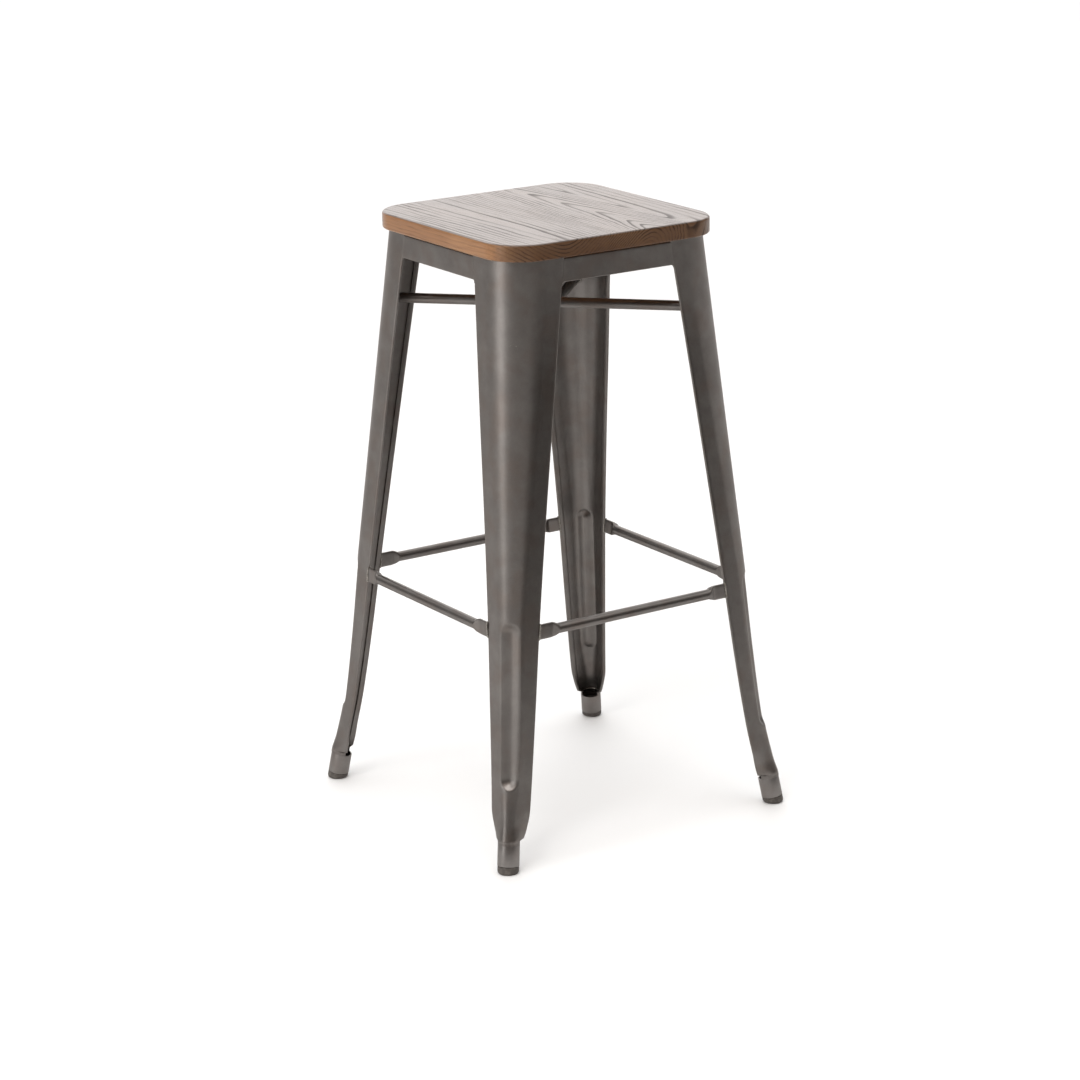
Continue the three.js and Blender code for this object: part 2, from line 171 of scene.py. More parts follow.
# How finely round shapes are divided.
BEND_STEPS = 40
FOOT_SIDES = 64
FOOT_WELD_STEPS = 60
RAIL_SIDES = 56
RAIL_WELD_STEPS = 44
BRACE_SIDES = 48
BEAD_SIDES = 10
SCREW_SIDES = 40
SEAT_CORNER_STEPS = 28
SHARP_ANGLE = math.radians(38)  # faces that meet at more than this keep a crisp edge


# ------------------------------------------------------------------ meshes


def lerp(start, end, t):
    return start + (end - start) * t


def clamp(value):
    return min(max(value, 0.0), 1.0)


def smooth(t):
    t = clamp(t)
    return t * t * (3 - 2 * t)


def spread(start, end, count):
    """Evenly spaced values from start to end, both included."""
    return [lerp(start, end, i / (count - 1)) for i in range(count)]


def arc(centre, radius, start, end, count):
    """Points on a plane arc. Angles are in degrees."""
    angles = [math.radians(a) for a in spread(start, end, count)]
    return [(centre[0] + radius * math.cos(a), centre[1] + radius * math.sin(a)) for a in angles]


def loft(rows, joined=False):
    """Points and faces of a solid through rows of points. Each row is a closed loop, and all rows have the
    same number of points. The last row joins the first, or else both ends are capped."""
    count = len(rows[0])
    points = [point for row in rows for point in row]
    faces = []
    for row in range(len(rows) if joined else len(rows) - 1):
        low = row * count
        high = (row + 1) % len(rows) * count
        for i in range(count):
            j = (i + 1) % count
            faces.append((low + i, low + j, high + j, high + i))
    if not joined:
        faces.append(tuple(reversed(range(count))))
        faces.append(tuple(range(len(points) - count, len(points))))
    return points, faces


def turned(profile, sides, joined=False):
    """A solid turned about Z, from its outline of (radius, height) points."""
    angles = [2 * math.pi * i / sides for i in range(sides)]
    rows = [[(r * math.cos(a), r * math.sin(a), z) for a in angles] for r, z in profile]
    return loft(rows, joined)


def reshape(part, place):
    """Moves each point of a part to where the function puts it."""
    points, faces = part
    return [place(*point) for point in points], faces


def quarter_turned(part, quarter):
    """A part turned about Z by a number of quarter turns."""
    points, faces = part
    for _ in range(quarter):
        points = [(-y, x, z) for x, y, z in points]
    return points, faces


def oval(half_width, half_height, power, count):
    """Points round an oval. A power of 1 gives an ellipse, and a lower one squares it off."""
    points = []
    for i in range(count):
        c = math.cos(2 * math.pi * i / count)
        s = math.sin(2 * math.pi * i / count)
        across = half_width * math.copysign(abs(c) ** power, c)
        points.append((across, half_height * math.copysign(abs(s) ** power, s)))
    return points


def solid_mesh(name, parts):
    """A mesh in metres of one or more parts, with its faces turned outwards."""
    points = []
    faces = []
    for part_points, part_faces in parts:
        start = len(points)
        points += [Vector(point) * MM for point in part_points]
        faces += [[start + i for i in face] for face in part_faces]
    mesh = bpy.data.meshes.new(name)
    mesh.from_pydata(points, [], faces)
    turning = bmesh.new()
    turning.from_mesh(mesh)
    bmesh.ops.recalc_face_normals(turning, faces=turning.faces)
    turning.to_mesh(mesh)
    turning.free()
    return mesh


def make_piece(name, parts, material, replaced=()):
    """One object from one or more parts. It stands for the CAD nodes that it replaces."""
    place_mesh(name, solid_mesh(name, parts), material, replaced)


def make_quarter_piece(name, quarter, parts, material, replaced=()):
    """One object from parts drawn for the first quarter, turned to another."""
    make_piece(name, [quarter_turned(part, quarter) for part in parts], material, replaced)


def place_mesh(name, mesh, material, replaced=()):
    """One object from a mesh. It rides on the stool's one body."""
    mesh.shade_smooth()
    mesh.set_sharp_from_angle(angle=SHARP_ANGLE)
    mesh.materials.append(material)
    piece = bpy.data.objects.new(name, mesh)
    bpy.context.scene.collection.objects.link(piece)
    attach(piece, "root")
    if replaced:
        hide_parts(*replaced)


# ------------------------------------------------------------------ leg shape


def station_slope(index, key):
    """Slope of one leg dimension at a station, from its neighbours."""
    before = LEG_STATIONS[max(index - 1, 0)]
    after = LEG_STATIONS[min(index + 1, len(LEG_STATIONS) - 1)]
    return (after[key] - before[key]) / (after["z"] - before["z"])


def leg_dimension(z, key):
    """One leg dimension at any height, on a smooth curve through the stations."""
    index = 0
    while index < len(LEG_STATIONS) - 2 and z > LEG_STATIONS[index + 1]["z"]:
        index += 1
    low = LEG_STATIONS[index]
    high = LEG_STATIONS[index + 1]
    gap = high["z"] - low["z"]
    t = (z - low["z"]) / gap
    if t < 0:
        return low[key] + station_slope(0, key) * (z - low["z"])
    values = low[key] * (1 + 2 * t) * (1 - t) ** 2 + high[key] * (3 - 2 * t) * t**2
    slopes = station_slope(index, key) * (1 - t) - station_slope(index + 1, key) * t
    return values + slopes * gap * t * (1 - t)


def shoulder_drop(z):
    """How far a height is down the shoulder, from 0 at its top to 1 at its bottom and below."""
    return clamp((SHOULDER_TOP - z) / (SHOULDER_TOP - SHOULDER_BOTTOM))


def leg_section(z):
    """The angle's half, flange and radius at a height. Below the shoulder it follows the foot's axis."""
    if z >= SHOULDER_TOP:
        return [leg_dimension(z, key) for key in ("half", "flange", "radius")]
    flange = lerp(leg_dimension(SHOULDER_TOP, "flange"), WRAP_FLANGE, shoulder_drop(z))
    return [FOOT_CENTRE - FOOT_SLOPE * z + SLEEVE_OUTER, flange, SLEEVE_OUTER]


def flange_edge(z):
    """Distance from the axis to a leg's free edge at a height."""
    half, flange, _ = leg_section(z)
    return half - flange


def flute_depth(from_ridge, z):
    """How far the flute presses the corner in, at a distance from the ridge and a height."""
    past_end = max(FLUTE_BOTTOM + FLUTE_REACH - z, z - FLUTE_TOP + FLUTE_REACH, 0)
    t = clamp(math.hypot(from_ridge, past_end) / FLUTE_REACH)
    fall = t - FLUTE_VALLEY / 2
    if t < FLUTE_VALLEY:
        fall = t**2 / (2 * FLUTE_VALLEY)
    if t > 1 - FLUTE_RIM:
        fall -= (t - 1 + FLUTE_RIM) ** 2 / (2 * FLUTE_RIM)
    whole = 1 - FLUTE_VALLEY / 2 - FLUTE_RIM / 2
    return FLUTE_DEPTH * (1 - fall / whole)


def flange_point(distance, depth, z):
    """Where a point of a flange goes as the flange curls: its straight distance from the rounded corner, and
    its straight depth. It starts at a distance along the flange and a depth behind its outer face."""
    share = clamp((CURL_TOP - z) / (CURL_TOP - SHOULDER_TOP))
    curvature = CURL_CURVATURE * share**2 + (1 / SLEEVE_OUTER - CURL_CURVATURE) * shoulder_drop(z)
    if curvature == 0:
        return distance, depth
    reach = 1 / curvature - depth
    angle = distance * curvature
    return reach * math.sin(angle), 1 / curvature - reach * math.cos(angle)


def free_edge(thickness, rounding, hem_width, straight):
    """The line round a flange's free edge, from its outer face to its inner face, as (distance from the edge,
    depth behind the outer face) points. It ends past the lip of the hem."""
    line = [(lerp(straight, rounding, t), 0) for t in (0.2, 0.4, 0.6, 0.8)]
    line += arc((rounding, rounding), rounding, -90, -180, 6)
    line += arc((rounding, thickness - rounding), rounding, 180, 90, 6)
    lip = min(CUT_EDGE, (thickness - SHEET) / 2) if thickness > SHEET else 0
    line.append((lerp(rounding, hem_width, 0.5), thickness))
    line += arc((hem_width - lip, thickness - lip), lip, 90, 0, 3)
    line.append((hem_width, SHEET))
    line += [(lerp(hem_width, straight, t), SHEET) for t in (0.25, 0.5, 0.75)]
    return line


def leg_loop(z, hemmed):
    """The closed outline of a leg's section at a height."""
    half, flange, radius = leg_section(z)
    thickness = HEM_THICKNESS if hemmed else SHEET
    straight = flange - radius
    rounding = lerp(thickness / 2 - 0.01, CUT_EDGE, smooth(z - APRON_BOTTOM + APRON_FILLET))
    edge = free_edge(thickness, rounding, min(HEM_WIDTH, 0.6 * straight), straight)
    curled = [flange_point(straight - along, depth, z) for along, depth in edge]
    one_side = [(half - radius - distance, half - depth) for distance, depth in curled]
    other_side = [(y, x) for x, y in reversed(one_side)]
    bend = []
    for angle in spread(0, math.pi / 2, BEND_STEPS + 1):
        press = flute_depth(radius * (angle - math.pi / 4), z)
        bend.append((radius - press, math.cos(angle), math.sin(angle)))
    centre = half - radius
    outer = [(centre + reach * c, centre + reach * s) for reach, c, s in bend]
    inner = [(centre + (reach - SHEET) * c, centre + (reach - SHEET) * s) for reach, c, s in bend]
    return one_side + inner[::-1] + other_side + outer


def leg_rows():
    """Heights of a leg's rows, each with whether its free edges are hemmed."""
    rows = [(z, False) for z in spread(WRAP_BOTTOM, SHOULDER_BOTTOM, 5)]
    rows += [(z, True) for z in spread(SHOULDER_BOTTOM, SHOULDER_TOP, 10)]
    end = FLUTE_REACH + FLUTE_MARGIN
    opening = APRON_BOTTOM - APRON_FILLET
    heights = spread(SHOULDER_TOP, FLUTE_BOTTOM - FLUTE_MARGIN, 16)[1:]
    heights += spread(FLUTE_BOTTOM - FLUTE_MARGIN, FLUTE_BOTTOM + end, 19)[1:]
    heights += spread(FLUTE_BOTTOM + end, FLUTE_TOP - end, 30)[1:]
    heights += spread(FLUTE_TOP - end, FLUTE_TOP + FLUTE_MARGIN, 19)[1:]
    heights += spread(FLUTE_TOP + FLUTE_MARGIN, opening, 50)[1:]
    heights += spread(opening, opening + 1, 5)[1:]
    heights += spread(opening + 1, FRAME_TOP, 6)[1:]
    return rows + [(z, True) for z in heights]


def leaned(x, y, z, lean):
    """A point near the foot, moved so that its row is square to the foot's axis."""
    centre = FOOT_CENTRE - FOOT_SLOPE * z
    outward = (x + y - 2 * centre) / math.sqrt(2)
    return x, y, z + clamp(lean) * RIM_RISE * outward


def leg_part():
    rows = []
    for z, hemmed in leg_rows():
        lean = (LEAN_TOP - z) / (LEAN_TOP - WRAP_BOTTOM)
        rows.append([leaned(x, y, z, lean) for x, y in leg_loop(z, hemmed)])
    return loft(rows)


# ------------------------------------------------------------------ feet


def lean_outwards(x, y, z):
    """Leans an upright turned solid along the foot's axis. Its base stays flat on the floor."""
    outward = (x + y) / math.sqrt(2)
    height = z + clamp(z / SLEEVE_BOTTOM) * RIM_RISE * outward
    centre = FOOT_CENTRE - FOOT_SLOPE * height
    return centre + x, centre + y, height


def sleeve_part():
    """A short tube with eased rims."""
    ease = SLEEVE_EASE
    profile = arc((SLEEVE_INNER + ease, SLEEVE_BOTTOM + ease), ease, 180, 270, 4)
    profile += arc((SLEEVE_OUTER - ease, SLEEVE_BOTTOM + ease), ease, 270, 360, 4)
    profile += arc((SLEEVE_OUTER - ease / 2, SLEEVE_TOP - ease / 2), ease / 2, 0, 90, 4)
    profile += arc((SLEEVE_INNER + ease, SLEEVE_TOP - ease), ease, 90, 180, 4)
    return reshape(turned(profile, FOOT_SIDES, joined=True), lean_outwards)


def rubber_part():
    """A rubber glide: a pad with tread rings below, a rounded edge and a lip under the sleeve, and a stem."""
    groove = TREAD_DEPTH
    profile = [(0.4, groove), (3.0, groove), (3.5, 0), (5.4, 0), (5.9, groove), (7.3, groove), (7.8, 0)]
    profile += arc((PAD_RADIUS - PAD_ROUNDING, PAD_ROUNDING), PAD_ROUNDING, 270, 350, 9)
    profile += [(PAD_RADIUS, 4.4), (PAD_RADIUS, 6.9)]
    profile += arc((PAD_RADIUS - PAD_LIP, 7.2), PAD_LIP, 0, 90, 4)
    profile += [(STEM_RADIUS, 8.0), (STEM_RADIUS, STEM_TOP - 1), (STEM_RADIUS - 1, STEM_TOP), (0.4, STEM_TOP)]
    return reshape(turned(profile, FOOT_SIDES), lean_outwards)


# ------------------------------------------------------------------ tubes and welds


def swept(path, radii, sides, joined=False):
    """A round bar along a path of points, with a radius for each point."""
    rows = []
    count = len(path)
    previous = None
    for i, point in enumerate(path):
        ahead = path[(i + 1) % count] if joined else path[min(i + 1, count - 1)]
        behind = path[i - 1] if joined else path[max(i - 1, 0)]
        along = (Vector(ahead) - Vector(behind)).normalized()
        guide = previous or along.orthogonal()
        across = (guide - along * guide.dot(along)).normalized()
        previous = across
        side = along.cross(across)
        centre = Vector(point)
        angles = [2 * math.pi * k / sides for k in range(sides)]
        rows.append([centre + radii[i] * (across * math.cos(a) + side * math.sin(a)) for a in angles])
    return loft(rows, joined)


def bead(path, radius, seed, joined=False):
    """A weld bead: a bar whose thickness ripples, as the puddle does."""
    chance = random.Random(seed)
    phase = chance.uniform(0, 6)
    radii = []
    length = 0.0
    for i, point in enumerate(path):
        if i:
            length += (Vector(point) - Vector(path[i - 1])).length
        ripple = 0.1 * math.sin(2 * math.pi * length / WELD_RIPPLE + phase) + chance.uniform(-0.09, 0.09)
        radii.append(radius * (1 + ripple))
    return swept(path, radii, BEAD_SIDES, joined)


def foot_weld_part(seed):
    """The weld bead inside a foot, where the leg's round end meets the sleeve."""
    radius = SLEEVE_INNER + 0.1
    ring = arc((0, 0), radius, 45 - FOOT_WELD_SWEEP, 45 + FOOT_WELD_SWEEP, FOOT_WELD_STEPS)
    return bead([lean_outwards(x, y, SLEEVE_TOP + 0.1) for x, y in ring], FOOT_WELD, seed)


def rail_part():
    """A round tube with its ends pressed flat, cut to the slope of the two legs' free edges."""
    half = leg_section(RAIL_HEIGHT)[0]
    centre_depth = half - middle("footrest_rail_right").x
    reach = flange_edge(RAIL_HEIGHT)
    from_end = [*spread(0, RAIL_FLAT, 6), *spread(RAIL_FLAT, RAIL_FLAT + RAIL_TAPER, 13)[1:]]
    from_end += spread(RAIL_FLAT + RAIL_TAPER, reach, 12)[1:]
    stations = [(-1, distance) for distance in from_end]
    stations += [(1, distance) for distance in reversed(from_end[:-1])]
    rows = []
    for end, distance in stations:
        pressed = 1 - smooth((distance - RAIL_FLAT) / RAIL_TAPER)
        power = 2 / lerp(2, 5, smooth(2 * pressed))
        half_height = lerp(RAIL_RADIUS, RAIL_END_HEIGHT / 2, pressed)
        half_depth = lerp(RAIL_RADIUS, RAIL_END_THICKNESS / 2, pressed)
        row = []
        for across, up in oval(half_depth, half_height, power, RAIL_SIDES):
            edge = lerp(reach, flange_edge(RAIL_HEIGHT + up), clamp(2 * pressed))
            along = max(edge - FINE_GAP - distance, 0)
            row.append((half - centre_depth + across, end * along, RAIL_HEIGHT + up))
        rows.append(row)
    return loft(rows)


def rail_weld_parts(seed):
    """The weld beads round the two ends of a rail."""
    x = middle("footrest_rail_right").x
    parts = []
    for end in (-1, 1):
        path = []
        for across, up in oval(RAIL_END_THICKNESS / 2 + 0.1, RAIL_END_HEIGHT / 2, 0.5, RAIL_WELD_STEPS):
            z = RAIL_HEIGHT + up
            path.append((x + across, end * (flange_edge(z) + 0.2), z))
        parts.append(bead(path, RAIL_WELD, seed + end, joined=True))
    return parts


def brace_parts(node, heading):
    """A tube across the stool from one leg's corner to the opposite one, with a weld bead round each end."""
    low, high = span(node)
    height = (low.z + high.z) / 2
    radius = (high.z - low.z) / 2
    half, _, corner = leg_section(height)
    reach = (half - corner) * math.sqrt(2) + corner - SHEET - 0.5
    direction = Vector((math.cos(heading), math.sin(heading), 0))
    across = Vector((-direction.y, direction.x, 0))
    centre = Vector((0, 0, height))
    path = [centre + direction * t for t in spread(-reach, reach, 25)]
    parts = [swept(path, [radius] * len(path), BRACE_SIDES)]
    for end in (-1, 1):
        ring = []
        for i in range(BRACE_SIDES):
            angle = 2 * math.pi * i / BRACE_SIDES
            rise = Vector((0, 0, radius * math.sin(angle))) + across * radius * math.cos(angle)
            ring.append(centre + direction * end * (reach - 0.2) + rise)
        parts.append(bead(ring, BRACE_WELD, end + height, joined=True))
    return parts


# ------------------------------------------------------------------ seat frame


def apron_point(depth, offset, height, end):
    """A point at a depth behind an apron's face, and at an offset along it from a leg's free edge."""
    return leg_section(height)[0] - depth, end * (flange_edge(height) + offset), height


def apron_part():
    """A panel between two legs with a hem along the bottom and a flange folded in at the top."""
    nose = HEM_THICKNESS / 2
    top_bend = (APRON_BEND, FRAME_TOP - APRON_BEND)
    hem_top = APRON_BOTTOM + HEM_WIDTH
    outline = [(0, h) for h in spread(APRON_BOTTOM + nose, top_bend[1], 7)[:-1]]
    outline += arc(top_bend, APRON_BEND, 180, 90, 9)
    outline += arc((APRON_FLANGE - CUT_EDGE, FRAME_TOP - CUT_EDGE), CUT_EDGE, 90, 0, 3)
    outline += arc((APRON_FLANGE - CUT_EDGE, FRAME_TOP - SHEET + CUT_EDGE), CUT_EDGE, 0, -90, 3)
    outline += arc(top_bend, APRON_BEND - SHEET, 90, 180, 5)
    outline += [(SHEET, hem_top)]
    outline += arc((HEM_THICKNESS - CUT_EDGE, hem_top - CUT_EDGE), CUT_EDGE, 90, 0, 3)
    outline += arc((nose, APRON_BOTTOM + nose), nose, 0, -180, 13)[:-1]
    rows = []
    for t in spread(-1, 1, 25):
        row = []
        for depth, height in outline:
            row.append((leg_section(height)[0] - depth, t * (flange_edge(height) - FINE_GAP), height))
        rows.append(row)
    return loft(rows)


def fillet_part(end):
    """The rounded corner between an apron's hem and a leg's hem, with the same rounded edge."""
    nose = HEM_THICKNESS / 2
    lap = nose + FILLET_LAP
    rows = []
    for angle in spread(-78, 78, 13):
        depth = nose + (nose - FINE_GAP) * math.sin(math.radians(angle))
        retreat = nose * (1 - math.cos(math.radians(angle)))
        radius = APRON_FILLET + retreat
        loop = arc((-APRON_FILLET, APRON_BOTTOM - APRON_FILLET), radius, 0, 90, 12)
        loop += [(-APRON_FILLET, APRON_BOTTOM + lap), (lap, APRON_BOTTOM + lap)]
        loop += [(lap, APRON_BOTTOM - APRON_FILLET)]
        rows.append([apron_point(depth, offset, height, end) for offset, height in loop])
    return loft(rows)


def screw_mesh():
    """A pan-head wood screw, point up, with a cross recess. Its bearing face is at height 0."""
    profile = [(0.3, -SCREW_HEAD), (2.0, -2.55)]
    profile += arc((2.3, -0.7), 1.9, 275, 350, 7)
    profile += [(4.2, -0.5), (4.2, 0), (2.2, 0), (2.0, 0.3), (2.0, 11.0), (0.1, 15.0)]
    slot = []
    for z, reach, half in ((-3.2, 2.4, 0.55), (-1.1, 0.9, 0.35)):
        slot.append([(-reach, -half, z), (reach, -half, z), (reach, half, z), (-reach, half, z)])
    cutter = loft(slot)
    objects = []
    for part in (turned(profile, SCREW_SIDES), cutter, quarter_turned(cutter, 1)):
        item = bpy.data.objects.new("screw_part", solid_mesh("screw_part", [part]))
        bpy.context.scene.collection.objects.link(item)
        objects.append(item)
    for cutter in objects[1:]:
        cut = objects[0].modifiers.new("recess", "BOOLEAN")
        cut.operation = "DIFFERENCE"
        cut.solver = "EXACT"
        cut.object = cutter
    bpy.context.view_layer.update()
    evaluated = objects[0].evaluated_get(bpy.context.evaluated_depsgraph_get())
    mesh = bpy.data.meshes.new_from_object(evaluated)
    for item in objects:
        bpy.data.objects.remove(item)
    return mesh


# ------------------------------------------------------------------ seat


def rounded_square(half, radius, steps):
    """The outline of a square with round corners."""
    outline = []
    for quarter in range(4):
        corner = arc((half - radius, half - radius), radius, 0, 90, steps)
        for _ in range(quarter):
            corner = [(-y, x) for x, y in corner]
        outline += corner
    return outline


def seat_part():
    """The seat board: a rounded square with eased edges, fuller above than below."""
    low, high = span("seat_board")
    levels = []
    for angle in spread(0, math.pi / 2, 8):
        rise = SEAT_EASE_BELOW * (1 - math.cos(angle))
        levels.append((SEAT_EASE_BELOW * (1 - math.sin(angle)), low.z + rise))
    for angle in spread(0, math.pi / 2, 9):
        fall = SEAT_EASE_ABOVE * (1 - math.sin(angle))
        levels.append((SEAT_EASE_ABOVE * (1 - math.cos(angle)), high.z - fall))
    levels += [(inset, high.z) for inset in (8, 20, 40)]
    rows = []
    for inset, z in levels:
        outline = rounded_square(high.x - inset, SEAT_CORNER_RADIUS - inset, SEAT_CORNER_STEPS)
        rows.append([(x, y, z) for x, y in outline])
    return loft(rows)


# ------------------------------------------------------------------ materials


class Nodes:
    """Short calls that add nodes to a material and link them."""

    def __init__(self, name, slot):
        self.material = bpy.data.materials.new(name)
        self.material.use_nodes = True
        self.material["slot"] = slot
        self.tree = self.material.node_tree
        self.tree.nodes.clear()

    @classmethod
    def of_tree(cls, tree):
        """The same calls for another node tree, such as the world's."""
        nodes = cls.__new__(cls)
        nodes.tree = tree
        tree.nodes.clear()
        return nodes

    def add(self, kind, inputs, **settings):
        node = self.tree.nodes.new(kind)
        for key, value in settings.items():
            setattr(node, key, value)
        for key, value in inputs.items():
            if isinstance(value, bpy.types.NodeSocket):
                self.tree.links.new(value, node.inputs[key])
            else:
                node.inputs[key].default_value = value
        return node

    def math(self, operation, *values):
        inputs = dict(enumerate(values))
        return self.add("ShaderNodeMath", inputs, operation=operation).outputs[0]

    def total(self, *values):
        result = values[0]
        for value in values[1:]:
            result = self.math("ADD", result, value)
        return result

    def position(self):
        """The point's place in millimetres."""
        return self.scaled(self.add("ShaderNodeTexCoord", {}).outputs["Object"], 1 / MM)

    def scaled(self, vector, factor):
        """A place or a colour, scaled."""
        inputs = {0: vector, "Scale": factor}
        return self.add("ShaderNodeVectorMath", inputs, operation="SCALE").outputs[0]

    def stretched(self, place, x, y, z):
        """The place with each axis scaled."""
        return self.add("ShaderNodeVectorMath", {0: place, 1: (x, y, z)}, operation="MULTIPLY").outputs[0]

    def noise(self, place, size, detail=2.0, roughness=0.5):
        """Noise from 0 to 1 whose features are about size millimetres across."""
        inputs = {"Vector": place, "Scale": 1 / size, "Detail": detail, "Roughness": roughness}
        return self.add("ShaderNodeTexNoise", inputs).outputs["Fac"]

    def between(self, value, low, high, start=0.0, end=1.0):
        """The value mapped smoothly from low..high to start..end."""
        inputs = {"Value": value, "From Min": low, "From Max": high, "To Min": start, "To Max": end}
        return self.add("ShaderNodeMapRange", inputs, interpolation_type="SMOOTHSTEP").outputs["Result"]

    def mix(self, share, first, second):
        """A colour between two colours."""
        node = self.add("ShaderNodeMix", {0: share}, data_type="RGBA")
        for index, value in ((6, first), (7, second)):
            if isinstance(value, bpy.types.NodeSocket):
                self.tree.links.new(value, node.inputs[index])
            else:
                node.inputs[index].default_value = (*value, 1)
        return node.outputs[2]

    def bump(self, height, distance):
        """A normal from a height of 0 to 1, whose whole range is distance millimetres deep."""
        inputs = {"Height": height, "Distance": distance * MM, "Strength": 1.0}
        return self.add("ShaderNodeBump", inputs).outputs["Normal"]

    def finish(self, **inputs):
        """Adds the shader. An input's name is its socket's, with _ for a space."""
        named = {key.replace("_", " "): value for key, value in inputs.items()}
        shader = self.add("ShaderNodeBsdfPrincipled", named)
        self.add("ShaderNodeOutputMaterial", {"Surface": shader.outputs[0]})
        return self.material


def steel(name, slot, light, dark, tint):
    """Lacquered steel: faintly mottled with brown, with a fine grain and lighter edges that are partly worn and
    partly a painted highlight.
    """
    nodes = Nodes(name, slot)
    place = nodes.position()
    clouds = nodes.noise(place, 75, 2.0)
    patches = nodes.noise(place, 20, 4.0, 0.6)
    grain = nodes.noise(place, 0.7, 2.0, 0.6)
    mottle = nodes.total(nodes.math("MULTIPLY", clouds, 0.5), nodes.math("MULTIPLY", patches, 0.5))
    colour = nodes.mix(nodes.between(mottle, 0.35, 0.65), dark, light)
    brown = nodes.between(nodes.noise(place, 30, 3.0), 0.42, 0.7, 0.0, 0.5)
    colour = nodes.scaled(nodes.mix(brown, colour, tint), nodes.between(grain, 0.3, 0.7, 0.93, 1.07))
    # Sharp edges are lightened: partly worn lacquer, partly a painted highlight where the rolled hems catch the
    # light.
    edges = nodes.add("ShaderNodeNewGeometry", {}).outputs["Pointiness"]
    worn_and_highlit_edge = [1.45 * value for value in light]
    colour = nodes.mix(nodes.between(edges, 0.52, 0.6, 0.0, 0.35), colour, worn_and_highlit_edge)
    smear = nodes.between(mottle, 0.35, 0.65, 0.365, 0.335)
    return nodes.finish(
        Base_Color=colour,
        Metallic=0.92,
        Specular_Tint=(0.72, 0.7, 0.69, 1),
        Roughness=nodes.total(smear, nodes.math("MULTIPLY", grain, 0.07)),
        Coat_Weight=0.15,
        Coat_Roughness=0.24,
        Normal=nodes.bump(grain, 0.035),
    )


def weld_metal():
    nodes = Nodes("weld metal", "gunmetal_steel")
    place = nodes.position()
    lumps = nodes.noise(place, 1.1, 3.0)
    colour = nodes.mix(nodes.between(lumps, 0.35, 0.65), (0.13, 0.115, 0.1), (0.34, 0.32, 0.29))
    return nodes.finish(
        Base_Color=colour,
        Metallic=0.9,
        Roughness=nodes.between(lumps, 0.3, 0.7, 0.46, 0.3),
        Normal=nodes.bump(lumps, 0.25),
    )


def zinc():
    nodes = Nodes("zinc plate", "zinc_steel")
    place = nodes.position()
    cloud = nodes.noise(place, 1.6, 3.0)
    colour = nodes.mix(cloud, (0.5, 0.49, 0.45), (0.68, 0.67, 0.64))
    return nodes.finish(
        Base_Color=colour,
        Metallic=1.0,
        Roughness=nodes.between(cloud, 0.3, 0.7, 0.24, 0.38),
        Normal=nodes.bump(nodes.noise(place, 0.4), 0.02),
    )


def rubber():
    nodes = Nodes("rubber", "dark_rubber")
    place = nodes.position()
    scuffs = nodes.noise(place, 4, 4.0, 0.65)
    grain = nodes.noise(place, 0.5, 2.0)
    colour = nodes.mix(nodes.between(scuffs, 0.45, 0.7), (0.07, 0.061, 0.054), (0.13, 0.115, 0.102))
    return nodes.finish(
        Base_Color=colour,
        Roughness=nodes.between(scuffs, 0.35, 0.65, 0.62, 0.8),
        Normal=nodes.bump(grain, 0.06),
    )


